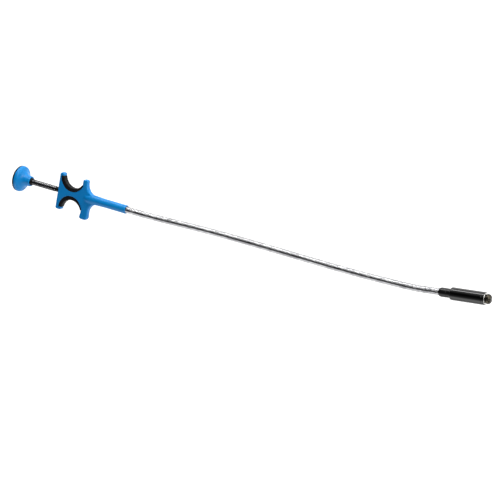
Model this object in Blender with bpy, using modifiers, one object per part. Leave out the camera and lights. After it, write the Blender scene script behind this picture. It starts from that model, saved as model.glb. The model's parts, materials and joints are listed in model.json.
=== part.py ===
"""Flexible claw-and-magnet pickup tool: a thumb plunger and a blue finger-grip handle at the rear,
a close-wound chrome shaft, and a black head with a ring magnet round a four-finger claw.

Metres, +Z up. The origin is the centre of the thumb face. +X runs along the handle's axis towards
the tip, Y along the finger lobes, and Z through the thickness of the handle's plate.
"""

import math

import bmesh
import bpy

TOOL_NAME = "pickup_tool"
CUTTERS_NAME = "cutters"

# Gaps and resolution.
SEAT_GAP = 0.0003  # between pieces that touch
BORE_GAP = 0.0002  # radial, round a piece seated or sliding in a bore
MERGE = 0.00001
CUT_OVERRUN = 0.0020  # how far a cutter runs past the face that it opens
FINE_CHAMFER = 0.0002
CHAMFER = 0.0004
TURN_STEPS = 32
FINE_TURN_STEPS = 48
CABLE_TURN_STEPS = 16
CORNER_STEPS = 5
NOTCH_STEPS = 28
SHARP_ANGLE = math.radians(35)

# Thumb plunger, along X from the thumb face.
THUMB_DISC_R = 0.0149
THUMB_DISC_LENGTH = 0.0019
CAP_FRONT = 0.0178
CAP_BORE_REAR = 0.0080
COLLAR_REAR = 0.0148
COLLAR_FRONT = 0.0188
COLLAR_R = 0.0042

# The thumb cap's outside, as radius and distance: a rim, a shoulder, a hollow flank and a neck.
CAP_PROFILE = (
    (0.0150, 0.0022),
    (0.0154, 0.0026),
    (0.0154, 0.0036),
    (0.0150, 0.0051),
    (0.0142, 0.0060),
    (0.0128, 0.0067),
    (0.0105, 0.0078),
    (0.0084, 0.0096),
    (0.0070, 0.0118),
    (0.0062, 0.0145),
    (0.0060, 0.0173),
    (0.0057, CAP_FRONT),
)
ROD_R = 0.00145
ROD_FRONT = 0.1220
ROD_END_GAP = 0.0001
PLUNGER_TRAVEL = 0.012

# Return spring, between the cap's collar and the rear bush.
SPRING_R = 0.0029
SPRING_WIRE_R = 0.0004
SPRING_TURNS = 15
SPRING_POINTS_PER_TURN = 12
SPRING_DEAD_TURNS = 1
SPRING_DEAD_PITCH = 0.0009

# Handle: a plate with two finger notches, then a neck and a barrel.
HANDLE_REAR = 0.0586
HANDLE_FRONT = 0.1536
PLATE_THICKNESS = 0.0072
PLATE_EDGE = 0.0018
NECK_START = 0.0950
BARREL_R = 0.0050
BARREL_EDGE = 0.0005
NECK_FILLET_R = 0.0125
NECK_HALF_WIDTH = 0.0046
REAR_LOBE_TIP = 0.0221
REAR_LOBE_CORNER_R = 0.0020

# Each side of the handle: its sign along Y, the notch's centre, the plate's rear face and the
# front lobe's two faces along X, the lobe's tip and corners, and where the notch's arc and its
# liner end.
# The lower front lobe is longer and wider than the upper one.
UPPER = {
    "y": 1,
    "notch_x": 0.0787,
    "rear": 0.0590,
    "inner": 0.0915,
    "front": 0.0974,
    "tip": 0.0211,
    "corner": 0.0018,
    "notch_end": 334.0,
    "liner_end": 330.0,
}
LOWER = {
    "y": -1,
    "notch_x": 0.0793,
    "rear": 0.0575,
    "inner": 0.0918,
    "front": 0.1021,
    "tip": 0.0261,
    "corner": 0.0030,
    "notch_end": 346.0,
    "liner_end": 339.0,
}
SIDES = {"upper": UPPER, "lower": LOWER}
NOTCH_Y = 0.0210
NOTCH_R = 0.0141
NOTCH_REAR_ANGLE = 190.0

# The neck's radius at distances from NECK_START: an ogive that swells, then narrows to the barrel.
NECK_PROFILE = (
    (0.0000, 0.0000),
    (0.0031, 0.0003),
    (0.0042, 0.0014),
    (0.0050, 0.0034),
    (0.0055, 0.0065),
    (0.0057, 0.0100),
    (0.0056, 0.0140),
    (0.0054, 0.0185),
    (0.0052, 0.0230),
    (BARREL_R, 0.0280),
)

# Rear bush and the pieces inside the handle.
BUSH_R = 0.0030
BUSH_PROUD = 0.0050
BUSH_DEPTH = 0.0050
GUIDE_R = 0.0019
GUIDE_FRONT = 0.1040
COUPLER_REAR = 0.1160
COUPLER_FRONT = 0.1280
COUPLER_R = 0.0022
COUPLER_BORE_R = 0.0027
SHAFT_SOCKET_REAR = 0.1415

# Rubber liners of the finger notches: crescents between the notch's arc and a lower, wider one.
LINER_BACK = (-0.0014, -0.0021)  # from the notch's centre
LINER_BACK_R = 0.0160
LINER_REAR_ANGLE = 190.0
LINER_WIDTH = 0.0068
LINER_EDGE = 0.0008

# Flexible shaft: where it bends, and each section's rest heading from +X towards +Y.
SHAFT_R = 0.00375
SHAFT_BORE_R = 0.0022
SHAFT_LENGTH = 0.3943
BEND_STATIONS = (0.029, 0.116, 0.203, 0.290, 0.364)
HEADINGS = (0.0, 2.4, 0.3, 0.1, 2.1, 7.5)
GROOVE_ANGLE = math.radians(22)
CABLE_R = 0.0010
CABLE_END_GAP = 0.0015
CABLE_HOLE_R = 0.0016

# Head, along its own axis from the last bend.
LAST_SECTION = len(BEND_STATIONS) + 1
HEAD_SHAFT = SHAFT_LENGTH - BEND_STATIONS[-1]
FERRULE_R = 0.0050
FERRULE_LENGTH = 0.0123
FERRULE_SPIGOT = 0.0080
FERRULE_EDGE = 0.0009
FERRULE_TAPER = 0.0020
SHAFT_STOP = 0.0010  # between the shaft's end and the ferrule's shoulder
SLEEVE_R = 0.0069
SLEEVE_LENGTH = 0.0393
SLEEVE_BORE_R = 0.0061
SLEEVE_EDGE = 0.0005
SLEEVE_SHOULDER = ((0.0009, 0.0003), (0.0003, 0.0009), (0.0000, 0.0020))  # inwards, forwards
MAGNET_R = 0.0059
MAGNET_BORE_R = 0.0046
MAGNET_LENGTH = 0.0080
MAGNET_PROUD = 0.0004
MAGNET_CHAMFER = 0.0002
MAGNET_MOUTH_R = 0.00525
MAGNET_MOUTH_DEPTH = 0.0008

# Claw: fingers that swing out as they leave the ring magnet.
FINGERS = 4
PIVOT_DEPTH = 0.0160  # behind the magnet's face
PIVOT_RADIUS = 0.0020
FINGER_ROOT = 0.0003
FINGER_SLOT = 0.0009
CLAW_COLLAR_R = 0.0036
CLAW_COLLAR_LENGTH = 0.0120
CLAW_COLLAR_BORE = 0.0080
CLAW_COLLAR_GAP = 0.0002
QUARTER_SPAN = 0.030

# The closed claw's outer and inner profile, as radius and distance from the finger hinges.
BUD_PROFILE = (
    (0.0026, FINGER_ROOT),
    (0.0029, 0.0010),
    (0.0029, 0.0152),
    (0.0041, 0.0163),
    (0.0049, 0.0170),
    (0.0053, 0.0178),
    (0.0054, 0.0187),
    (0.0052, 0.0197),
    (0.0048, 0.0206),
    (0.0041, 0.0214),
    (0.0031, 0.0219),
    (0.0002, 0.0220),
    (0.0002, 0.0209),
    (0.0029, 0.0208),
    (0.0035, 0.0204),
    (0.0041, 0.0196),
    (0.0043, 0.0187),
    (0.0041, 0.0180),
    (0.0034, 0.0174),
    (0.0016, 0.0156),
    (0.0016, FINGER_ROOT),
)

BLUE = ("blue_plastic", (0.010, 0.185, 0.520), 0.38, 0.0)
BLACK = ("black_plastic", (0.012, 0.012, 0.013), 0.30, 0.0)
RUBBER = ("black_rubber", (0.018, 0.018, 0.019), 0.65, 0.0)
CHROME = ("chrome_wire", (0.62, 0.62, 0.63), 0.16, 1.0)
STEEL = ("bright_steel", (0.48, 0.48, 0.49), 0.28, 1.0)
NICKEL = ("nickel_magnet", (0.66, 0.65, 0.62), 0.20, 1.0)
SPRING_STEEL = ("claw_steel", (0.46, 0.42, 0.36), 0.30, 1.0)
BRASS = ("brass", (0.60, 0.42, 0.16), 0.30, 1.0)
GLOSS_BLACK = ("gloss_black", (0.008, 0.008, 0.009), 0.14, 0.0)


def clear_scene():
    for obj in list(bpy.data.objects):
        bpy.data.objects.remove(obj, do_unlink=True)


def new_collection(name):
    collection = bpy.data.collections.new(name)
    bpy.context.scene.collection.children.link(collection)
    return collection


def material_of(recipe):
    name, colour, roughness, metallic = recipe
    found = bpy.data.materials.get(name)
    if found:
        return found
    material = bpy.data.materials.new(name)
    material.use_nodes = True
    shader = material.node_tree.nodes["Principled BSDF"]
    shader.inputs["Base Color"].default_value = (*colour, 1.0)
    shader.inputs["Roughness"].default_value = roughness
    shader.inputs["Metallic"].default_value = metallic
    material.diffuse_color = (*colour, 1.0)
    return material


def add_object(name, data, collection, parent=None, location=(0, 0, 0), rotation=(0, 0, 0)):
    obj = bpy.data.objects.new(name, data)
    obj.location = location
    obj.rotation_euler = rotation
    obj.parent = parent
    collection.objects.link(obj)
    return obj


def add_empty(name, parent, location, rotation=(0, 0, 0)):
    """A joint's frame. Its local +X runs along the piece that it carries."""
    empty = add_object(name, None, parts, parent, location, rotation)
    empty.empty_display_size = 0.01
    return empty


def as_mesh(obj):
    """Puts the object's evaluated shape, welded, in place of its curve or modifiers."""
    bpy.context.view_layer.update()
    graph = bpy.context.evaluated_depsgraph_get()
    mesh = bpy.data.meshes.new_from_object(obj.evaluated_get(graph))
    solid = bmesh.new()
    solid.from_mesh(mesh)
    bmesh.ops.remove_doubles(solid, verts=solid.verts, dist=MERGE)
    solid.to_mesh(mesh)
    solid.free()
    mesh.shade_smooth()
    mesh.set_sharp_from_angle(angle=SHARP_ANGLE)
    name, collection, parent = obj.name, obj.users_collection[0], obj.parent
    location, rotation = obj.location.copy(), obj.rotation_euler.copy()
    bpy.data.objects.remove(obj, do_unlink=True)
    mesh.name = name
    return add_object(name, mesh, collection, parent, location, rotation)


def paint(obj, recipe):
    obj.data.materials.clear()
    obj.data.materials.append(material_of(recipe))
    return obj


def turned(name, profile, parent=None, at=0.0, closed=False, steps=TURN_STEPS, collection=None):
    """A profile of (radius, distance) points turned about its parent's X axis, `at` along it.

    The profile runs forwards along its outer side. A closed one comes back along its bore.
    """
    mesh = bpy.data.meshes.new(name)
    points = [(radius, 0, distance) for radius, distance in reversed(profile)]
    edges = [(i, i + 1) for i in range(len(points) - 1)]
    if closed:
        edges.append((len(points) - 1, 0))
    mesh.from_pydata(points, edges, [])
    rotation = (0, math.radians(90), 0)
    obj = add_object(name, mesh, collection or parts, parent, (at, 0, 0), rotation)
    screw = obj.modifiers.new("Turn", "SCREW")
    screw.axis = "Z"
    screw.angle = math.radians(360)
    screw.steps = steps
    screw.render_steps = steps
    screw.use_merge_vertices = True
    screw.merge_threshold = MERGE
    return as_mesh(obj)


def tube_profile(outer, bore, rear, front, chamfer=FINE_CHAMFER):
    return [
        (outer - chamfer, rear),
        (outer, rear + chamfer),
        (outer, front - chamfer),
        (outer - chamfer, front),
        (bore, front),
        (bore, rear),
    ]


def rod_profile(radius, rear, front, chamfer=FINE_CHAMFER):
    return [
        (0, rear),
        (radius - chamfer, rear),
        (radius, rear + chamfer),
        (radius, front - chamfer),
        (radius - chamfer, front),
        (0, front),
    ]


def hide_cutter(cutter):
    cutter.hide_render = True
    cutter.display_type = "WIRE"
    return cutter


def combine(obj, other, operation):
    boolean = obj.modifiers.new(operation.title(), "BOOLEAN")
    boolean.operation = operation
    boolean.solver = "EXACT"
    boolean.object = other
    return obj


def arc(centre, radius, start, end, count):
    """Points along an arc, from the start angle to the end angle in degrees."""
    points = []
    for i in range(count + 1):
        angle = math.radians(start + (end - start) * i / count)
        x = centre[0] + radius * math.cos(angle)
        y = centre[1] + radius * math.sin(angle)
        points.append((x, y))
    return points


def plate(name, outline, thickness, collection):
    """A flat outline in XY, centred on Z, as a mesh."""
    curve = bpy.data.curves.new(name, "CURVE")
    curve.dimensions = "2D"
    curve.fill_mode = "BOTH"
    curve.extrude = thickness / 2
    spline = curve.splines.new("POLY")
    spline.points.add(len(outline) - 1)
    for point, (x, y) in zip(spline.points, outline):
        point.co = (x, y, 0, 1)
    spline.use_cyclic_u = True
    obj = as_mesh(add_object(name, curve, collection))
    solid = bmesh.new()
    solid.from_mesh(obj.data)
    flat = math.radians(1)
    bmesh.ops.dissolve_limit(solid, angle_limit=flat, verts=solid.verts, edges=solid.edges)
    bmesh.ops.recalc_face_normals(solid, faces=solid.faces)
    solid.to_mesh(obj.data)
    solid.free()
    return obj


def round_edges(obj, width, segments):
    bevel = obj.modifiers.new("Round edges", "BEVEL")
    bevel.width = width
    bevel.segments = segments
    bevel.limit_method = "ANGLE"
    bevel.angle_limit = math.radians(60)
    return obj


def handle_side(side):
    """Half of the plate's outline, from its rear face to the neck, on one side of the axis."""
    tip = REAR_LOBE_TIP - REAR_LOBE_CORNER_R
    notch = (side["notch_x"], NOTCH_Y)
    notch_rear = side["notch_x"] - NOTCH_R
    rear_corner = (side["rear"] + REAR_LOBE_CORNER_R, tip)
    notch_corner = (notch_rear - REAR_LOBE_CORNER_R, tip)
    inner_corner = (side["inner"] + side["corner"], side["tip"] - side["corner"])
    front_corner = (side["front"] - side["corner"], side["tip"] - side["corner"])
    fillet_centre = (side["front"] + NECK_FILLET_R, NECK_HALF_WIDTH + NECK_FILLET_R)
    points = arc(rear_corner, REAR_LOBE_CORNER_R, 180, 90, CORNER_STEPS)
    points += arc(notch_corner, REAR_LOBE_CORNER_R, 90, 0, CORNER_STEPS)
    points += arc(notch, NOTCH_R, NOTCH_REAR_ANGLE, side["notch_end"], NOTCH_STEPS)
    points += arc(inner_corner, side["corner"], 180, 90, CORNER_STEPS)
    points += arc(front_corner, side["corner"], 90, 0, CORNER_STEPS)
    points += arc(fillet_centre, NECK_FILLET_R, 180, 270, 2 * CORNER_STEPS)
    return [(x, side["y"] * y) for x, y in points]


def back_angle(notch_angle):
    """The angle about the liner's back centre of the notch arc's point at `notch_angle`."""
    x = NOTCH_R * math.cos(math.radians(notch_angle)) - LINER_BACK[0]
    y = NOTCH_R * math.sin(math.radians(notch_angle)) - LINER_BACK[1]
    return math.degrees(math.atan2(y, x)) % 360


def liner_outline(side, grow=0.0):
    """The crescent of a notch liner, which follows the notch's arc. `grow` widens it all round."""
    wider = math.degrees(grow / NOTCH_R)
    start, end = LINER_REAR_ANGLE - wider, side["liner_end"] + wider
    back_r = LINER_BACK_R + grow
    notch = (side["notch_x"], NOTCH_Y)
    back = (notch[0] + LINER_BACK[0], notch[1] + LINER_BACK[1])
    points = arc(back, back_r, back_angle(start), back_angle(end), NOTCH_STEPS)
    points += arc(notch, NOTCH_R - grow, end, start, NOTCH_STEPS)
    return [(x, side["y"] * y) for x, y in points]


def make_handle():
    outline = handle_side(UPPER) + handle_side(LOWER)[::-1]
    body = as_mesh(round_edges(plate("handle_body", outline, PLATE_THICKNESS, parts), PLATE_EDGE, 3))
    neck_profile = [(radius, NECK_START + distance) for radius, distance in NECK_PROFILE]
    neck_profile += [
        (BARREL_R, HANDLE_FRONT - BARREL_EDGE),
        (BARREL_R - BARREL_EDGE, HANDLE_FRONT),
        (0, HANDLE_FRONT),
    ]
    neck = turned("neck_cutter", neck_profile, collection=cutters)
    bores = turned("bore_cutter", [
        (0, HANDLE_REAR - CUT_OVERRUN),
        (BUSH_R + BORE_GAP, HANDLE_REAR - CUT_OVERRUN),
        (BUSH_R + BORE_GAP, HANDLE_REAR + BUSH_DEPTH),
        (GUIDE_R + BORE_GAP, HANDLE_REAR + BUSH_DEPTH),
        (GUIDE_R + BORE_GAP, GUIDE_FRONT + SEAT_GAP),
        (COUPLER_BORE_R, GUIDE_FRONT + SEAT_GAP),
        (COUPLER_BORE_R, SHAFT_SOCKET_REAR),
        (SHAFT_R + BORE_GAP, SHAFT_SOCKET_REAR),
        (SHAFT_R + BORE_GAP, HANDLE_FRONT + CUT_OVERRUN),
        (0, HANDLE_FRONT + CUT_OVERRUN),
    ], collection=cutters)
    combine(body, hide_cutter(neck), "UNION")
    combine(body, hide_cutter(bores), "DIFFERENCE")
    for label, side in SIDES.items():
        outline = liner_outline(side, SEAT_GAP)
        recess = plate("recess_cutter_" + label, outline, 2 * PLATE_THICKNESS, cutters)
        combine(body, hide_cutter(recess), "DIFFERENCE")
    paint(body, BLUE)


def make_liners():
    for label, side in SIDES.items():
        liner = plate("finger_liner_" + label, liner_outline(side), LINER_WIDTH, parts)
        paint(round_edges(liner, LINER_EDGE, 2), RUBBER)


def make_handle_inside():
    bush_rear = HANDLE_REAR - BUSH_PROUD
    bush_front = HANDLE_REAR + BUSH_DEPTH - SEAT_GAP
    bush = tube_profile(BUSH_R, ROD_R + BORE_GAP, bush_rear, bush_front, CHAMFER)
    paint(turned("rear_bush", bush, closed=True), BLACK)
    guide_rear = HANDLE_REAR + BUSH_DEPTH
    guide = tube_profile(GUIDE_R, ROD_R + BORE_GAP, guide_rear, GUIDE_FRONT)
    paint(turned("guide_tube", guide, closed=True), STEEL)


def make_plunger():
    plunger = add_empty("plunger_frame", None, (0, 0, 0))
    disc = [
        (0, 0),
        (THUMB_DISC_R - CHAMFER, 0),
        (THUMB_DISC_R, CHAMFER),
        (THUMB_DISC_R, THUMB_DISC_LENGTH),
        (0, THUMB_DISC_LENGTH),
    ]
    paint(turned("thumb_disc", disc, plunger, steps=FINE_TURN_STEPS), BLACK)
    bore_r = ROD_R + BORE_GAP
    cap = [
        (0, CAP_PROFILE[0][1]),
        *CAP_PROFILE,
        (COLLAR_R + BORE_GAP, CAP_FRONT),
        (COLLAR_R + BORE_GAP, COLLAR_REAR - SEAT_GAP),
        (bore_r, COLLAR_REAR - SEAT_GAP),
        (bore_r, CAP_BORE_REAR),
        (0, CAP_BORE_REAR),
    ]
    paint(turned("thumb_cap", cap, plunger, steps=FINE_TURN_STEPS), BLUE)
    collar = tube_profile(COLLAR_R, bore_r, COLLAR_REAR, COLLAR_FRONT, CHAMFER)
    paint(turned("cap_collar", collar, plunger, closed=True), BLACK)
    rod = rod_profile(ROD_R, CAP_BORE_REAR + SEAT_GAP, ROD_FRONT)
    paint(turned("plunger_rod", rod, plunger), STEEL)
    cable_bore_r = CABLE_R + BORE_GAP
    coupler = [
        (COUPLER_R - CHAMFER, COUPLER_REAR),
        (COUPLER_R, COUPLER_REAR + CHAMFER),
        (COUPLER_R, COUPLER_FRONT - CHAMFER),
        (COUPLER_R - CHAMFER, COUPLER_FRONT),
        (cable_bore_r, COUPLER_FRONT),
        (cable_bore_r, ROD_FRONT + ROD_END_GAP),
        (bore_r, ROD_FRONT + ROD_END_GAP),
        (bore_r, COUPLER_REAR),
    ]
    paint(turned("cable_coupler", coupler, plunger, closed=True), BRASS)
    first_bend = HANDLE_FRONT + BEND_STATIONS[0]
    cable_front = first_bend - PLUNGER_TRAVEL - CABLE_END_GAP
    cable = rod_profile(CABLE_R, ROD_FRONT + SEAT_GAP, cable_front)
    paint(turned("inner_cable_1", cable, plunger, steps=CABLE_TURN_STEPS), STEEL)


def make_spring():
    """A compression spring with a dead turn at each end, resting on the collar and the bush."""
    rear = COLLAR_FRONT + SEAT_GAP + SPRING_WIRE_R
    front = HANDLE_REAR - BUSH_PROUD - SEAT_GAP - SPRING_WIRE_R
    dead = SPRING_DEAD_TURNS * SPRING_DEAD_PITCH
    active_turns = SPRING_TURNS - 2 * SPRING_DEAD_TURNS
    pitch = (front - rear - 2 * dead) / active_turns
    curve = bpy.data.curves.new("return_spring", "CURVE")
    curve.dimensions = "3D"
    curve.bevel_depth = SPRING_WIRE_R
    curve.bevel_resolution = 1
    curve.use_fill_caps = True
    spline = curve.splines.new("POLY")
    count = SPRING_TURNS * SPRING_POINTS_PER_TURN
    spline.points.add(count)
    for i, point in enumerate(spline.points):
        turn = i / SPRING_POINTS_PER_TURN
        active = min(max(turn - SPRING_DEAD_TURNS, 0), active_turns)
        x = rear + active * pitch + (turn - active) * dead / SPRING_DEAD_TURNS
        angle = 2 * math.pi * turn
        point.co = (x, SPRING_R * math.cos(angle), SPRING_R * math.sin(angle), 1)
    paint(as_mesh(add_object("return_spring", curve, parts)), STEEL)


def shaft_profile(rear, front, rear_groove, front_groove):
    """A stretch of the shaft's tube. A grooved end is a shallow cone, which leaves room to bend."""
    rise = math.tan(GROOVE_ANGLE)
    rear_outer = rear + SHAFT_R * rise * rear_groove
    rear_bore = rear + SHAFT_BORE_R * rise * rear_groove
    front_outer = front - SHAFT_R * rise * front_groove
    front_bore = front - SHAFT_BORE_R * rise * front_groove
    return [
        (SHAFT_R, rear_outer),
        (SHAFT_R, front_outer),
        (SHAFT_BORE_R, front_bore),
        (SHAFT_BORE_R, rear_bore),
    ]


def make_shaft():
    """The shaft's sections from the handle to the head. Returns the head's frame."""
    gap = SEAT_GAP / 2
    first = shaft_profile(SHAFT_SOCKET_REAR + SEAT_GAP, HANDLE_FRONT + BEND_STATIONS[0] - gap, 0, 1)
    paint(turned("flex_section_1", first, closed=True), CHROME)
    frame = None
    station = HANDLE_FRONT + BEND_STATIONS[0]
    for i in range(1, len(BEND_STATIONS)):
        turn = math.radians(HEADINGS[i] - HEADINGS[i - 1])
        frame = add_empty(f"bend_{i}_frame", frame, (station, 0, 0), (0, 0, turn))
        length = BEND_STATIONS[i] - BEND_STATIONS[i - 1]
        section = shaft_profile(gap, length - gap, 1, 1)
        paint(turned(f"flex_section_{i + 1}", section, frame, closed=True), CHROME)
        cable_front = length - PLUNGER_TRAVEL - CABLE_END_GAP
        cable = rod_profile(CABLE_R, CABLE_END_GAP, cable_front)
        paint(turned(f"inner_cable_{i + 1}", cable, frame, steps=CABLE_TURN_STEPS), STEEL)
        station = length
    turn = math.radians(HEADINGS[-1] - HEADINGS[-2])
    return add_empty("head_frame", frame, (station, 0, 0), (0, 0, turn))


def make_head(head):
    """The shaft's end, its ferrule, the sleeve and the magnet. Returns the magnet's front."""
    ferrule_front = HEAD_SHAFT + FERRULE_LENGTH
    spigot_front = ferrule_front + FERRULE_SPIGOT
    sleeve_front = ferrule_front + SLEEVE_LENGTH
    magnet_front = sleeve_front + MAGNET_PROUD
    magnet_rear = magnet_front - MAGNET_LENGTH
    shaft = shaft_profile(SEAT_GAP / 2, ferrule_front - SHAFT_STOP, 1, 0)
    paint(turned(f"flex_section_{LAST_SECTION}", shaft, head, closed=True), CHROME)
    shaft_bore = SHAFT_R + BORE_GAP
    ferrule = [
        (FERRULE_R - FERRULE_EDGE, HEAD_SHAFT),
        (FERRULE_R, HEAD_SHAFT + FERRULE_TAPER),
        (FERRULE_R, spigot_front),
        (CABLE_HOLE_R, spigot_front),
        (CABLE_HOLE_R, ferrule_front),
        (shaft_bore, ferrule_front),
        (shaft_bore, HEAD_SHAFT),
    ]
    paint(turned("shaft_ferrule", ferrule, head, closed=True), BLACK)
    spigot_bore = FERRULE_R + BORE_GAP
    sleeve = [(SLEEVE_R - inwards, ferrule_front + forwards) for inwards, forwards in SLEEVE_SHOULDER]
    sleeve += [
        (SLEEVE_R, sleeve_front - SLEEVE_EDGE),
        (SLEEVE_R - SLEEVE_EDGE, sleeve_front),
        (SLEEVE_BORE_R, sleeve_front),
        (SLEEVE_BORE_R, spigot_front),
        (spigot_bore, spigot_front),
        (spigot_bore, ferrule_front),
    ]
    sleeve_steps = FINE_TURN_STEPS
    paint(turned("head_sleeve", sleeve, head, closed=True, steps=sleeve_steps), GLOSS_BLACK)
    magnet = [
        (MAGNET_R, magnet_rear),
        (MAGNET_R, magnet_front - MAGNET_CHAMFER),
        (MAGNET_R - MAGNET_CHAMFER, magnet_front),
        (MAGNET_MOUTH_R, magnet_front),
        (MAGNET_BORE_R, magnet_front - MAGNET_MOUTH_DEPTH),
        (MAGNET_BORE_R, magnet_rear),
    ]
    paint(turned("magnet_ring", magnet, head, closed=True, steps=FINE_TURN_STEPS), NICKEL)
    tube_front = magnet_rear - SEAT_GAP
    tube = tube_profile(MAGNET_R, MAGNET_BORE_R, spigot_front + SEAT_GAP, tube_front)
    paint(turned("head_tube", tube, head, closed=True), BRASS)
    return magnet_front


def make_claw(head, magnet_front):
    pivot = magnet_front - PIVOT_DEPTH
    claw = add_empty("claw_frame", head, (pivot, 0, 0))
    cable_bore_r = CABLE_R + BORE_GAP
    bore_front = CLAW_COLLAR_BORE - CLAW_COLLAR_LENGTH
    collar = [
        (0, bore_front),
        (cable_bore_r, bore_front),
        (cable_bore_r, -CLAW_COLLAR_LENGTH),
        (CLAW_COLLAR_R - CHAMFER, -CLAW_COLLAR_LENGTH),
        (CLAW_COLLAR_R, CHAMFER - CLAW_COLLAR_LENGTH),
        (CLAW_COLLAR_R, -CLAW_COLLAR_GAP - CHAMFER),
        (CLAW_COLLAR_R - CHAMFER, -CLAW_COLLAR_GAP),
        (0, -CLAW_COLLAR_GAP),
    ]
    paint(turned("claw_collar", collar, claw), BRASS)
    cable = rod_profile(CABLE_R, CABLE_END_GAP - pivot, bore_front - SEAT_GAP)
    cable_name = f"inner_cable_{LAST_SECTION}"
    paint(turned(cable_name, cable, claw, steps=CABLE_TURN_STEPS), STEEL)
    for number in range(1, FINGERS + 1):
        make_finger(number, claw)


def make_finger(number, claw):
    """A quarter of the turned bud, in a frame on its own hinge."""
    spin = math.radians(360 / FINGERS * (number - 0.5))
    place = (0, -PIVOT_RADIUS * math.sin(spin), PIVOT_RADIUS * math.cos(spin))
    hinge = add_empty(f"finger_{number}_frame", claw, place, (spin, 0, 0))
    quarter = bmesh.new()
    bmesh.ops.create_cube(quarter, size=QUARTER_SPAN)
    aside = (QUARTER_SPAN + FINGER_SLOT) / 2
    bmesh.ops.translate(quarter, vec=(QUARTER_SPAN / 2, aside, aside), verts=quarter.verts)
    mesh = bpy.data.meshes.new(f"quarter_cutter_{number}")
    quarter.to_mesh(mesh)
    quarter.free()
    claw_axis = (0, 0, -PIVOT_RADIUS)
    eighth_turn = (math.radians(45), 0, 0)
    cutter = add_object(mesh.name, mesh, cutters, hinge, claw_axis, eighth_turn)
    finger = turned(f"claw_finger_{number}", BUD_PROFILE, hinge, closed=True)
    finger.location = claw_axis
    combine(finger, hide_cutter(cutter), "INTERSECT")
    paint(as_mesh(finger), SPRING_STEEL)


clear_scene()
parts = new_collection(TOOL_NAME)
cutters = new_collection(CUTTERS_NAME)
make_handle()
make_liners()
make_handle_inside()
make_plunger()
make_spring()
head_frame = make_shaft()
make_claw(head_frame, make_head(head_frame))
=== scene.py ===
"""Looks of the flexible claw-and-magnet pickup tool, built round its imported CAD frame.

Metres, +Z up. +X runs along the handle's axis from the thumb face to the tip, and Y along the
finger lobes. The plate is level, over a pale floor.
"""

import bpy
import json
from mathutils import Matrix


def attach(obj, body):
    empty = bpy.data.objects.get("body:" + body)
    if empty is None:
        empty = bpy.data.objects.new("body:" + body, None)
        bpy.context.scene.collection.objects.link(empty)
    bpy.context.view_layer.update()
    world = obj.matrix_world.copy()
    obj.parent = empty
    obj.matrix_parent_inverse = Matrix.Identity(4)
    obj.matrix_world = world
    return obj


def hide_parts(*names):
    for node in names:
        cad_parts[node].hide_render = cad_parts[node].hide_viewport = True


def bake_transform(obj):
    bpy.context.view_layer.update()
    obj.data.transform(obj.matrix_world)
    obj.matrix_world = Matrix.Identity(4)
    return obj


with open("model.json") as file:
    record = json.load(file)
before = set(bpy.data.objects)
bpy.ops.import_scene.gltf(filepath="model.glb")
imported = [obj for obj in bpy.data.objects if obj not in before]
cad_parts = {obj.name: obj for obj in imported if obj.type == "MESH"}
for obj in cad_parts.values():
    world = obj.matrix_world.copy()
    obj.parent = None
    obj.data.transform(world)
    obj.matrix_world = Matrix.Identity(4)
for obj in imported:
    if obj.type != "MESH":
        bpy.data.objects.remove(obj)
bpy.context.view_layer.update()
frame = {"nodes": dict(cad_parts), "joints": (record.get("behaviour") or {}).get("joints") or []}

import json
import math

import bmesh
import bpy
import numpy as np
from mathutils import Matrix, Vector

# Camera: the direction from its target back to it, and its rightward direction.
CAMERA_TARGET = Vector((0.318, -0.0047, -0.0013))
CAMERA_BACK = Vector((0.4413, 0.2590, 0.8592))
CAMERA_RIGHT = Vector((0.8603, 0.1501, -0.4871))
CAMERA_DISTANCE = 2.0
CAMERA_LENS = 129.8

# Flexible shaft, of close-wound round wire.
SHAFT_R = 0.00375
SHAFT_PITCH = 0.00150
SHAFT_WIRE_R = 0.00073
SHAFT_STEPS = 26  # points along each turn
SHAFT_SIDES = 9
SHAFT_IN_BARREL = 0.0060
SHAFT_IN_FERRULE = 0.0040
# How far it curves to each side of each joint at rest. Each is shorter than the stretch it is in.
SHAFT_CURVES = (0.027, 0.036, 0.036, 0.034, 0.015)
CURVE_POINTS = 200

# Thumb cap: how far its pad and its plug stand past their CAD nodes.
PAD_OVERHANG = 0.0004
PLUG_PROUD = 0.0012

# Return spring.
SPRING_R = 0.0029
SPRING_WIRE_R = 0.00052
SPRING_TURNS = 15
SPRING_DEAD_TURNS = 1.0  # at each end, closely wound
SPRING_DEAD_PITCH = 2.1  # times the wire's radius
SPRING_REAR_GAP = 0.0002
SPRING_FRONT_GAP = 0.0001
SPRING_STEPS = 32
SPRING_SIDES = 10

# Handle.
HANDLE_VOXEL = 0.00034
LINER_VOXEL = 0.00024
LINER_FIT = 0.00027  # fills most of the clearance round each liner
LOBE_START = 0.0920
NECK_ROOT = 0.0930
NECK_SOFT_LENGTH = 0.030
SOFTEN_PASSES = 40

# Head.
CABLE_HOLE_R = 0.0016
GROOVE_DEPTH = 0.0002
MAGNET_FACE_R = 0.00525
MAGNET_BORE_R = 0.0046
MAGNET_DISH = 0.0008
CLAW_VOXEL = 0.00013

# Turned pieces.
TURN_SEGMENTS = 96
FINE_TURN_SEGMENTS = 128
ROD_TURN_SEGMENTS = 48
TURN_SHARP_ANGLE = 50  # degrees
COIL_SHARP_ANGLE = 60
ON_AXIS = 1e-7
MOST_CUT = 0.45  # of a profile's edge, that one rounded corner may take
ROD_R = 0.00145
BORE_GAP = 0.0002
SEAT_GAP = 0.0003

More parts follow.
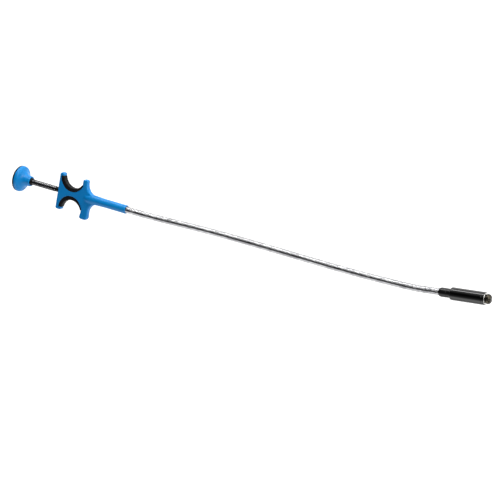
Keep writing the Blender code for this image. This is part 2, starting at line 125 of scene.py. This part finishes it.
# Studio. The ramp runs from the +Y side of the sky to the -Y side.
FLOOR_CENTRE = 0.3
FLOOR_LEVEL = -0.33  # below the head wherever the shaft bends
FLOOR_SIZE = 60.0
FLOOR_SHADE = 0.66
FLOOR_GLOW = 0.62
BACKDROP_SHADE = 0.90
SKY_SHADES = (
    (0.00, 1.50),
    (0.12, 1.10),
    (0.24, 0.60),
    (0.34, 0.10),
    (0.50, 0.00),
    (0.64, 0.04),
    (0.80, 0.25),
    (0.90, 1.00),
    (1.00, 1.60),
)

chain = ["handle", "shaft_2", "shaft_3", "shaft_4", "shaft_5", "head"]
joints = {joint["name"]: joint for joint in frame["joints"]}
bends = [Vector(joints[f"flex_bend_{i}"]["pos_m"]) for i in range(1, len(chain))]
head_line = (bends[-1], Vector(joints["claw_slide"]["axis"]).normalized())
main_line = (Vector((0, 0, 0)), Vector((1, 0, 0)))


# ---------------------------------------------------------------- measuring the frame

def extent(node, line):
    """(rear, front, radius) of a CAD node along a line, from its own points."""
    origin, axis = line
    rear, front, radius = math.inf, -math.inf, 0.0
    for vertex in frame["nodes"][node].data.vertices:
        offset = vertex.co - origin
        along = offset.dot(axis)
        rear, front = min(rear, along), max(front, along)
        radius = max(radius, (offset - along * axis).length)
    return rear, front, radius


def point_on(line, along):
    """The point at a distance along a line."""
    return line[0] + along * line[1]


plug_face = extent("cap_collar", main_line)[1] + PLUG_PROUD
bush_face = extent("rear_bush", main_line)[0]


# ---------------------------------------------------------------- materials

def new_material(name, colour, roughness, metallic=0.0, specular=0.5):
    material = bpy.data.materials.new(name)
    material.use_nodes = True
    shader = material.node_tree.nodes["Principled BSDF"]
    shader.inputs["Base Color"].default_value = (*colour, 1)
    shader.inputs["Roughness"].default_value = roughness
    shader.inputs["Metallic"].default_value = metallic
    shader.inputs["Specular IOR Level"].default_value = specular
    return material


def node(material, kind, **values):
    """A node of this material, with attributes and sockets set by name."""
    made = material.node_tree.nodes.new(kind)
    for key, value in values.items():
        if hasattr(made, key):
            setattr(made, key, value)
        else:
            made.inputs[key.replace("_", " ").title()].default_value = value
    return made


def link(material, a, b):
    material.node_tree.links.new(a, b)


def noise(material, scale, detail=3.0, stretch=(1, 1, 1)):
    """Noise in object space, `scale` features to the metre, stretched along the axes."""
    place = node(material, "ShaderNodeTexCoord")
    mapping = node(material, "ShaderNodeMapping")
    mapping.inputs["Scale"].default_value = stretch
    texture = node(material, "ShaderNodeTexNoise", scale=scale, detail=detail)
    link(material, place.outputs["Object"], mapping.inputs["Vector"])
    link(material, mapping.outputs["Vector"], texture.inputs["Vector"])
    return texture.outputs["Fac"]


def ranged(material, value, low, high, start=0.3, end=0.7):
    """Maps a value from start..end to low..high."""
    made = node(material, "ShaderNodeMapRange")
    for socket, number in (("From Min", start), ("From Max", end), ("To Min", low), ("To Max", high)):
        made.inputs[socket].default_value = number
    link(material, value, made.inputs["Value"])
    return made.outputs["Result"]


def vary_colour(material, value, dark, light):
    """Colours the surface between two colours, by a value from 0 to 1."""
    mix = node(material, "ShaderNodeMix", data_type="RGBA")
    mix.inputs["A"].default_value = (*dark, 1)
    mix.inputs["B"].default_value = (*light, 1)
    link(material, value, mix.inputs["Factor"])
    return mix.outputs["Result"]


def mix_colours(material, factor, first, light):
    """Turns a colour socket towards a plain colour, by a factor from 0 to 1."""
    mix = node(material, "ShaderNodeMix", data_type="RGBA")
    link(material, factor, mix.inputs["Factor"])
    link(material, first, mix.inputs["A"])
    mix.inputs["B"].default_value = (*light, 1)
    return mix.outputs["Result"]


def set_input(material, socket, value):
    link(material, value, material.node_tree.nodes["Principled BSDF"].inputs[socket])


def bump(material, layers):
    """Stacks bump layers of (value, strength, depth in metres) on the surface."""
    normal = None
    for value, strength, depth in layers:
        made = node(material, "ShaderNodeBump")
        made.inputs["Strength"].default_value = strength
        made.inputs["Distance"].default_value = depth
        link(material, value, made.inputs["Height"])
        if normal:
            link(material, normal, made.inputs["Normal"])
        normal = made.outputs["Normal"]
    set_input(material, "Normal", normal)


def edges(material, start, end):
    """0 on flat surface, 1 on outer edges."""
    geometry = node(material, "ShaderNodeNewGeometry")
    return ranged(material, geometry.outputs["Pointiness"], 0.0, 1.0, start, end)


def moulded(name, dark, light, worn, roughness, grain=0.00003, specular=0.3):
    """Moulded plastic: cloudy colour, fine grain, handling marks and paler edges."""
    material = new_material(name, light, roughness[0], specular=specular)
    cloud = ranged(material, noise(material, 60, 2), 0, 1)
    colour = vary_colour(material, cloud, dark, light)
    rubbed = mix_colours(material, edges(material, 0.53, 0.62), colour, worn)
    set_input(material, "Base Color", rubbed)
    smudges = ranged(material, noise(material, 110, 5), *roughness)
    set_input(material, "Roughness", smudges)
    flow = noise(material, 300, 2, (0.25, 1, 1))
    bump(material, [(noise(material, 2600, 2), 0.25, grain), (flow, 0.15, 2 * grain)])
    return material


def plated(name, dark, light, roughness, drawn=(1, 1, 1), depth=0.000006):
    """Bright metal: drawing marks stretched along an axis, and a tone that varies at random."""
    material = new_material(name, light, roughness[0], metallic=1.0)
    marks = noise(material, 1500, 4, drawn)
    tone = ranged(material, noise(material, 140, 4), 0, 1)
    set_input(material, "Base Color", vary_colour(material, tone, dark, light))
    set_input(material, "Roughness", ranged(material, marks, *roughness))
    bump(material, [(marks, 0.3, depth)])
    return material


blue_plastic = moulded(
    "blue_plastic_look", (0.0003, 0.170, 0.465), (0.0006, 0.190, 0.500), (0.005, 0.205, 0.515),
    (0.32, 0.44), specular=0.22,
)
black_plastic = moulded(
    "black_plastic_look",
    (0.002, 0.002, 0.002), (0.004, 0.004, 0.004), (0.012, 0.012, 0.013), (0.20, 0.34)
)
matt_black = moulded(
    "matt_black_look",
    (0.001, 0.001, 0.001), (0.003, 0.003, 0.003), (0.010, 0.010, 0.010), (0.42, 0.60),
    specular=0.15,
)
black_rubber = moulded(
    "black_rubber_look",
    (0.002, 0.002, 0.003), (0.004, 0.004, 0.005), (0.014, 0.014, 0.015), (0.50, 0.68),
    grain=0.00007, specular=0.13,
)
gloss_black = moulded(
    "gloss_black_look",
    (0.001, 0.001, 0.001), (0.002, 0.002, 0.002), (0.008, 0.008, 0.008), (0.05, 0.11),
    grain=0.00001, specular=0.4,
)
chrome_wire = plated("chrome_wire_look", (0.30, 0.30, 0.31), (0.54, 0.54, 0.55), (0.14, 0.28))
bright_steel = plated(
    "bright_steel_look", (0.03, 0.03, 0.032), (0.10, 0.10, 0.105), (0.20, 0.34), (0.1, 1, 1)
)
rod_steel = plated(
    "rod_steel_look", (0.012, 0.012, 0.013), (0.035, 0.035, 0.037), (0.22, 0.36), (0.1, 1, 1)
)
nickel = plated("nickel_look", (0.80, 0.79, 0.76), (0.95, 0.94, 0.91), (0.28, 0.42))
claw_steel = plated("claw_steel_look", (0.014, 0.0125, 0.0095), (0.085, 0.076, 0.058), (0.20, 0.34))
brass = plated("brass_look", (0.42, 0.27, 0.08), (0.66, 0.46, 0.17), (0.22, 0.36), (0.2, 1, 1))


# ---------------------------------------------------------------- building pieces

def finish_piece(piece, material, slot, body, *nodes):
    """Gives a piece its material, and puts it in the place of CAD nodes on their body. The slot is not
    used.
    """
    piece.data.materials.clear()
    piece.data.materials.append(material)
    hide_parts(*nodes)
    if body:
        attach(piece, body)
    return piece


def object_of(name, points, faces, smooth_angle=None):
    mesh = bpy.data.meshes.new(name)
    mesh.from_pydata(points, [], faces)
    mesh.validate()
    solid = bmesh.new()
    solid.from_mesh(mesh)
    bmesh.ops.recalc_face_normals(solid, faces=solid.faces)
    solid.to_mesh(mesh)
    solid.free()
    mesh.shade_smooth()
    if smooth_angle:
        mesh.set_sharp_from_angle(angle=math.radians(smooth_angle))
    piece = bpy.data.objects.new(name, mesh)
    bpy.context.scene.collection.objects.link(piece)
    return piece


def rounded(profile, radius, steps=4):
    """A profile with each corner turned into a small arc. A point may give its own radius third."""
    soft = [profile[0][:2]]
    for before, corner, after in zip(profile, profile[1:], profile[2:]):
        cut = corner[2] if len(corner) > 2 else radius
        here = Vector(corner[:2])
        back, ahead = Vector(before[:2]) - here, Vector(after[:2]) - here
        start = here + back.normalized() * min(cut, back.length * MOST_CUT)
        end = here + ahead.normalized() * min(cut, ahead.length * MOST_CUT)
        for i in range(steps + 1):
            t = i / steps
            soft.append(tuple((1 - t) ** 2 * start + 2 * t * (1 - t) * here + t * t * end))
    soft.append(profile[-1][:2])
    return soft


def turned(name, profile, line, closed=False, segments=TURN_SEGMENTS):
    """A profile of (distance, radius) points turned about a line, with ends on it or closed."""
    origin, axis = line
    side = Vector((0, 0, 1))
    across = side.cross(axis).normalized()
    points, rings = [], []
    for along, radius in profile:
        centre = origin + along * axis
        if radius < ON_AXIS:
            rings.append([len(points)] * segments)
            points.append(centre)
            continue
        rings.append(range(len(points), len(points) + segments))
        for i in range(segments):
            angle = math.tau * i / segments
            points.append(centre + radius * (math.cos(angle) * side + math.sin(angle) * across))
    pairs = list(zip(rings, rings[1:]))
    if closed:
        pairs.append((rings[-1], rings[0]))
    faces = []
    for a, b in pairs:
        for i in range(segments):
            j = (i + 1) % segments
            corners = [a[i], a[j], b[j], b[i]]
            faces.append(list(dict.fromkeys(corners)))
    return object_of(name, points, faces, TURN_SHARP_ANGLE)


def coil(name, centres, across, up, radius, wire_r, turns, sides):
    """A round wire wound about a route. `turns` counts the turns made at each of its points."""
    phase = math.tau * turns[:, None]
    out = across * np.cos(phase) + up * np.sin(phase)
    path = centres + radius * out
    along = np.gradient(path, axis=0)
    along /= np.linalg.norm(along, axis=1)[:, None]
    out -= along * (out * along).sum(axis=1)[:, None]
    out /= np.linalg.norm(out, axis=1)[:, None]
    third = np.cross(along, out)
    points = []
    for i in range(len(path)):
        for k in range(sides):
            angle = math.tau * k / sides
            points.append(path[i] + wire_r * (math.cos(angle) * out[i] + math.sin(angle) * third[i]))
    faces = []
    for i in range(len(path) - 1):
        for k in range(sides):
            j = (k + 1) % sides
            faces.append([i * sides + k, i * sides + j, (i + 1) * sides + j, (i + 1) * sides + k])
    faces.append(list(range(sides))[::-1])
    faces.append([(len(path) - 1) * sides + k for k in range(sides)])
    return object_of(name, [tuple(p) for p in points], faces, COIL_SHARP_ANGLE)


def applied(piece):
    """Puts the piece's modified shape in place of its modifiers."""
    bpy.context.view_layer.update()
    graph = bpy.context.evaluated_depsgraph_get()
    mesh = bpy.data.meshes.new_from_object(piece.evaluated_get(graph))
    piece.modifiers.clear()
    piece.vertex_groups.clear()
    piece.data = mesh
    mesh.shade_smooth()
    return piece


def remeshed(name, cad_node, voxel, smoothing):
    """A copy of a CAD node with its facets and corners melted into one soft surface."""
    piece = bpy.data.objects.new(name, frame["nodes"][cad_node].data.copy())
    bpy.context.scene.collection.objects.link(piece)
    remesh = piece.modifiers.new("Remesh", "REMESH")
    remesh.mode = "VOXEL"
    remesh.voxel_size = voxel
    smooth = piece.modifiers.new("Smooth", "SMOOTH")
    smooth.factor = 0.5
    smooth.iterations = smoothing
    return applied(piece)


def swollen(piece, depth):
    """Moves the piece's whole surface outwards by a depth."""
    points = piece.data.vertices
    outwards = [point.normal.copy() for point in points]
    for point, way in zip(points, outwards):
        point.co += depth * way
    return piece


def soften(piece, weight_of, iterations):
    """Smooths a piece further where weight_of(point) is above 0."""
    group = piece.vertex_groups.new(name="soft")
    for vertex in piece.data.vertices:
        weight = weight_of(vertex.co)
        if weight > 0:
            group.add([vertex.index], min(weight, 1.0), "REPLACE")
    smooth = piece.modifiers.new("Soften", "SMOOTH")
    smooth.factor = 0.5
    smooth.iterations = iterations
    smooth.vertex_group = "soft"
    return applied(piece)


def ramp(value, start, end):
    """0 before start, 1 after end, and smooth between them."""
    t = min(max((value - start) / (end - start), 0.0), 1.0)
    return t * t * (3 - 2 * t)


# ---------------------------------------------------------------- plunger

def make_plunger():
    rear, front, radius = extent("thumb_disc", main_line)
    radius += PAD_OVERHANG
    dish = [
        (rear + 0.0003, 0),
        (rear + 0.0003, radius * 0.55),
        (rear + 0.0001, radius * 0.80),
        (rear, radius - 0.0008),
        (rear + 0.0007, radius),
        (front, radius, 0.0002),
        (front, 0),
    ]
    disc = turned("thumb_pad", rounded(dish, 0.0006), main_line)
    finish_piece(disc, matt_black, "black_plastic", "plunger", "thumb_disc")

    rear, front, radius = extent("thumb_cap", main_line)
    plug_rear, _, plug_r = extent("cap_collar", main_line)
    rod_rear = extent("plunger_rod", main_line)[0]
    bore_r = ROD_R + BORE_GAP
    flank = [
        (rear, 0),
        (rear, radius - 0.0006),
        (rear + 0.0004, radius, 0.0004),
        (rear + 0.0014, radius, 0.0010),
        (rear + 0.0029, radius - 0.0005, 0.0010),
        (rear + 0.0038, radius - 0.0014, 0.0010),
        (rear + 0.0046, radius - 0.0030, 0.0014),
        (rear + 0.0056, radius - 0.0051, 0.0016),
        (rear + 0.0074, radius - 0.0071, 0.0020),
        (rear + 0.0096, radius - 0.0084, 0.0020),
        (rear + 0.0123, radius - 0.0092, 0.0020),
        (front, radius - 0.0095, 0.0006),
        (front, plug_r + BORE_GAP, 0.0002),
        (plug_rear - SEAT_GAP, plug_r + BORE_GAP, 0.0001),
        (plug_rear - SEAT_GAP, bore_r, 0.0001),
        (rod_rear - BORE_GAP, bore_r, 0.0001),
        (rod_rear - BORE_GAP, 0),
    ]
    cap = turned("thumb_cap_shell", rounded(flank, 0.0004), main_line, segments=FINE_TURN_SEGMENTS)
    finish_piece(cap, blue_plastic, "blue_plastic", "plunger", "thumb_cap")

    plug = [(plug_rear, bore_r), (plug_rear, plug_r), (plug_face, plug_r, 0.0007), (plug_face, bore_r)]
    plug = rounded(plug + [(plug_rear, bore_r)], 0.0003)[:-1]
    collar = turned("cap_plug", plug, main_line, closed=True)
    finish_piece(collar, matt_black, "black_plastic", "plunger", "cap_collar")

    rear, front, radius = extent("plunger_rod", main_line)
    rod = [(rear, 0), (rear, radius), (front, radius), (front, 0)]
    rod = turned("plunger_pushrod", rounded(rod, 0.0003), main_line, segments=ROD_TURN_SEGMENTS)
    finish_piece(rod, rod_steel, "bright_steel", "plunger", "plunger_rod")


def make_spring():
    rear = plug_face + SPRING_WIRE_R + SPRING_REAR_GAP
    front = bush_face - SPRING_WIRE_R - SPRING_FRONT_GAP
    turns = np.linspace(0, SPRING_TURNS, SPRING_TURNS * SPRING_STEPS + 1)
    active = np.clip(turns - SPRING_DEAD_TURNS, 0, SPRING_TURNS - 2 * SPRING_DEAD_TURNS)
    dead_pitch = SPRING_DEAD_PITCH * SPRING_WIRE_R
    pitch = (front - rear - 2 * SPRING_DEAD_TURNS * dead_pitch) / active[-1]
    along = rear + active * pitch + (turns - active) * dead_pitch
    centres = np.stack([along, 0 * along, 0 * along], axis=1)
    across, up = np.array([0.0, 1.0, 0.0]), np.array([0.0, 0.0, 1.0])
    name = "return_spring_coil"
    spring = coil(name, centres, across, up, SPRING_R, SPRING_WIRE_R, turns, SPRING_SIDES)
    finish_piece(spring, bright_steel, "bright_steel", None, "return_spring")
    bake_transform(spring)


# ---------------------------------------------------------------- handle

def make_handle():
    body = remeshed("handle_shell", "handle_body", HANDLE_VOXEL, 5)

    def soft_at(point):
        """More rounding on the front lobes and where the neck grows out of the plate."""
        neck_end = NECK_ROOT + NECK_SOFT_LENGTH
        lobe = ramp(point.x, LOBE_START, LOBE_START + 0.003) * ramp(abs(point.y), 0.007, 0.011)
        neck = ramp(point.x, NECK_ROOT, NECK_ROOT + 0.004) * ramp(neck_end - point.x, 0, 0.006)
        return max(0.8 * lobe, neck * ramp(0.012 - abs(point.y), 0, 0.004))

    soften(body, soft_at, SOFTEN_PASSES)
    finish_piece(body, blue_plastic, "blue_plastic", "handle", "handle_body")
    for side in ("upper", "lower"):
        liner = remeshed(f"{side}_finger_pad", f"finger_liner_{side}", LINER_VOXEL, 6)
        swollen(liner, LINER_FIT)
        finish_piece(liner, black_rubber, "black_rubber", "handle", f"finger_liner_{side}")

    rear, front, radius = extent("rear_bush", main_line)
    bore_r = ROD_R + BORE_GAP
    ring = [
        (rear, bore_r),
        (rear, radius, 0.0006),
        (rear + 0.0018, radius),
        (rear + 0.0021, radius - 0.0003),
        (rear + 0.0024, radius),
        (front, radius),
        (front, bore_r),
        (rear, bore_r),
    ]
    bush = turned("rod_bush", rounded(ring, 0.0003)[:-1], main_line, closed=True)
    finish_piece(bush, matt_black, "black_plastic", "handle", "rear_bush")


# ---------------------------------------------------------------- shaft

def curved_stretch(start, corner, end, reach):
    """Points and directions from start to end, straight but for a curve round the corner."""
    into, away = (corner - start).normalized(), (end - corner).normalized()
    a, b, c = (np.array(p) for p in (corner - reach * into, corner, corner + reach * away))
    t = np.linspace(0, 1, CURVE_POINTS)[:, None]
    points = (1 - t) ** 2 * a + 2 * t * (1 - t) * b + t * t * c
    slopes = 2 * (1 - t) * (b - a) + 2 * t * (c - b)
    slopes /= np.linalg.norm(slopes, axis=1)[:, None]
    points = np.vstack([start, points, end])
    return points, np.vstack([slopes[0], slopes, slopes[-1]])


def make_shaft():
    """The wound wire, one piece for each bend, from the middle of one stretch to the next."""
    barrel_front = Vector((extent("handle_body", main_line)[1], 0, 0))
    ferrule_rear = point_on(head_line, extent("shaft_ferrule", head_line)[0])
    middles = [(a + b) / 2 for a, b in zip(bends, bends[1:])]
    marks = [barrel_front, *middles, ferrule_rear]
    done = 0.0
    for i, bend in enumerate(bends):
        points, slopes = curved_stretch(marks[i], bend, marks[i + 1], SHAFT_CURVES[i])
        if i == 0:
            points = np.vstack([points[0] - slopes[0] * SHAFT_IN_BARREL, points])
            slopes = np.vstack([slopes[0], slopes])
        if i == len(bends) - 1:
            points = np.vstack([points, points[-1] + slopes[-1] * SHAFT_IN_FERRULE])
            slopes = np.vstack([slopes, slopes[-1]])
        lengths = np.concatenate([[0], np.cumsum(np.linalg.norm(np.diff(points, axis=0), axis=1))])
        count = round(lengths[-1] / SHAFT_PITCH * SHAFT_STEPS)
        wanted = np.linspace(0, lengths[-1], count + 1)
        centres = np.stack([np.interp(wanted, lengths, points[:, k]) for k in range(3)], axis=1)
        ahead = np.stack([np.interp(wanted, lengths, slopes[:, k]) for k in range(3)], axis=1)
        up = np.tile([0.0, 0.0, 1.0], (len(ahead), 1))
        across = np.cross(up, ahead)
        turns = (done + wanted) / SHAFT_PITCH
        done += lengths[-1]
        winding_r = SHAFT_R - SHAFT_WIRE_R
        name = f"shaft_winding_{i + 1}"
        piece = coil(name, centres, across, up, winding_r, SHAFT_WIRE_R, turns, SHAFT_SIDES)
        nodes = [f"flex_section_{i + 2}"]
        if i == 0:
            nodes.insert(0, "flex_section_1")
        finish_piece(piece, chrome_wire, "chrome_wire", None, *nodes)
        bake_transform(piece)


# ---------------------------------------------------------------- head

def make_head():
    rear, front, radius = extent("shaft_ferrule", head_line)
    sleeve_rear, sleeve_front, sleeve_r = extent("head_sleeve", head_line)
    bore_r = SHAFT_R + BORE_GAP
    ring = [
        (rear, bore_r),
        (rear, radius - 0.0009, 0.0002),
        (rear + 0.0020, radius, 0.0007),
        (rear + 0.0085, radius, 0.0001),
        (rear + 0.0087, radius - GROOVE_DEPTH, 0.0001),
        (rear + 0.0092, radius - GROOVE_DEPTH, 0.0001),
        (rear + 0.0094, radius, 0.0001),
        (front, radius, 0.0003),
        (front, CABLE_HOLE_R),
        (sleeve_rear, CABLE_HOLE_R),
        (sleeve_rear, bore_r),
        (rear, bore_r),
    ]
    ferrule = turned("ferrule_shell", rounded(ring, 0.0002)[:-1], head_line, closed=True)
    finish_piece(ferrule, black_plastic, "black_plastic", "head", "shaft_ferrule")

    magnet_rear, magnet_front, magnet_r = extent("magnet_ring", head_line)
    seat_r = radius + BORE_GAP
    ring = [
        (sleeve_rear, seat_r),
        (sleeve_rear, sleeve_r - 0.0016, 0.0003),
        (sleeve_rear + 0.0016, sleeve_r, 0.0012),
        (sleeve_front - 0.0030, sleeve_r, 0.0002),
        (sleeve_front - 0.0028, sleeve_r - GROOVE_DEPTH, 0.0001),
        (sleeve_front - 0.0026, sleeve_r - GROOVE_DEPTH, 0.0001),
        (sleeve_front - 0.0024, sleeve_r, 0.0002),
        (sleeve_front, sleeve_r, 0.0005),
        (sleeve_front, magnet_r + BORE_GAP, 0.0002),
        (front, magnet_r + BORE_GAP),
        (front, seat_r),
        (sleeve_rear, seat_r),
    ]
    ring = rounded(ring, 0.0002)[:-1]
    sleeve = turned("head_shell", ring, head_line, closed=True, segments=FINE_TURN_SEGMENTS)
    finish_piece(sleeve, gloss_black, "gloss_black", "head", "head_sleeve")

    ring = [
        (magnet_rear, magnet_r),
        (magnet_front, magnet_r, 0.0004),
        (magnet_front, MAGNET_FACE_R, 0.0002),
        (magnet_front - MAGNET_DISH, MAGNET_BORE_R, 0.0002),
        (magnet_rear, MAGNET_BORE_R),
        (magnet_rear, magnet_r),
    ]
    ring = rounded(ring, 0.0003)[:-1]
    magnet = turned("magnet_shell", ring, head_line, closed=True, segments=FINE_TURN_SEGMENTS)
    finish_piece(magnet, nickel, "nickel_magnet", "head", "magnet_ring")

    for i in range(1, 5):
        finger = remeshed(f"claw_jaw_{i}", f"claw_finger_{i}", CLAW_VOXEL, 4)
        finish_piece(finger, claw_steel, "claw_steel", f"finger_{i}", f"claw_finger_{i}")


def paint_hidden_nodes():
    """The pieces inside keep their CAD shape, and get finished materials."""
    looks = {"guide_tube": bright_steel}
    looks.update({name: brass for name in ("cable_coupler", "head_tube", "claw_collar")})
    looks.update({f"inner_cable_{i}": bright_steel for i in range(1, 7)})
    for name, material in looks.items():
        mesh = frame["nodes"][name].data
        mesh.materials.clear()
        mesh.materials.append(material)


# ---------------------------------------------------------------- studio

def make_floor():
    bpy.ops.mesh.primitive_plane_add(size=FLOOR_SIZE, location=(FLOOR_CENTRE, 0, FLOOR_LEVEL))
    floor = bpy.context.object
    floor.name = "floor"
    paper = new_material("floor_paper", (FLOOR_SHADE,) * 3, 0.75, specular=0.2)
    shader = paper.node_tree.nodes["Principled BSDF"]
    shader.inputs["Emission Color"].default_value = (1, 1, 1, 1)
    shader.inputs["Emission Strength"].default_value = FLOOR_GLOW
    floor.data.materials.append(paper)


def make_softbox(name, place, size, power):
    light = bpy.data.lights.new(name, "AREA")
    light.shape = "RECTANGLE"
    light.size, light.size_y = size
    light.energy = power
    lamp = bpy.data.objects.new(name, light)
    lamp.location = place
    aim = CAMERA_TARGET - Vector(place)
    lamp.rotation_euler = aim.to_track_quat("-Z", "Y").to_euler()
    bpy.context.scene.collection.objects.link(lamp)


def make_sky():
    """Two pale side walls, and a dark ceiling between them that leans towards the camera."""
    world = bpy.data.worlds.new("studio")
    bpy.context.scene.world = world
    world.use_nodes = True
    tree = world.node_tree
    place = tree.nodes.new("ShaderNodeTexCoord")
    sideways = tree.nodes.new("ShaderNodeVectorMath")
    sideways.operation = "DOT_PRODUCT"
    sideways.inputs[1].default_value = main_line[1].cross(CAMERA_BACK).normalized()
    shades = tree.nodes.new("ShaderNodeValToRGB")
    spread = tree.nodes.new("ShaderNodeMapRange")
    spread.inputs["From Min"].default_value = -1
    tree.links.new(place.outputs["Generated"], sideways.inputs[0])
    tree.links.new(sideways.outputs["Value"], spread.inputs["Value"])
    tree.links.new(spread.outputs["Result"], shades.inputs["Fac"])
    tree.links.new(shades.outputs["Color"], tree.nodes["Background"].inputs["Color"])
    # The camera sees one plain pale shade behind the floor. The ramp lights the scene, and shows
    # in what the tool reflects.
    backdrop = tree.nodes.new("ShaderNodeBackground")
    backdrop.inputs["Color"].default_value = (*(BACKDROP_SHADE,) * 3, 1)
    rays = tree.nodes.new("ShaderNodeLightPath")
    seen = tree.nodes.new("ShaderNodeMixShader")
    tree.links.new(rays.outputs["Is Camera Ray"], seen.inputs[0])
    tree.links.new(tree.nodes["Background"].outputs[0], seen.inputs[1])
    tree.links.new(backdrop.outputs[0], seen.inputs[2])
    tree.links.new(seen.outputs[0], tree.nodes["World Output"].inputs["Surface"])
    ramp_points = shades.color_ramp.elements
    for position, _ in SKY_SHADES[1:-1]:
        ramp_points.new(position)
    for point, (position, shade) in zip(ramp_points, SKY_SHADES):
        point.position = position
        point.color = (shade, shade, shade, 1)


def make_camera():
    back = CAMERA_BACK.normalized()
    up = back.cross(CAMERA_RIGHT).normalized()
    right = up.cross(back)
    camera = bpy.data.objects.new("camera", bpy.data.cameras.new("camera"))
    camera.data.lens = CAMERA_LENS
    camera.data.clip_start = 0.01
    turn = Matrix((right, up, back)).transposed().to_4x4()
    camera.matrix_world = Matrix.Translation(CAMERA_TARGET + CAMERA_DISTANCE * back) @ turn
    bpy.context.scene.collection.objects.link(camera)
    bpy.context.scene.camera = camera


bpy.context.scene.view_settings.view_transform = "Standard"
make_camera()
make_sky()
make_softbox("low_strip", (0.30, 1.30, 0.16), (2.6, 0.16), 24.0)
make_softbox("side_softbox", (0.30, -1.25, 0.75), (2.4, 0.9), 9.0)
make_softbox("tip_softbox", (1.50, 0.90, 0.60), (1.0, 0.7), 13.0)
make_floor()
make_plunger()
make_spring()
make_handle()
make_shaft()
make_head()
paint_hidden_nodes()
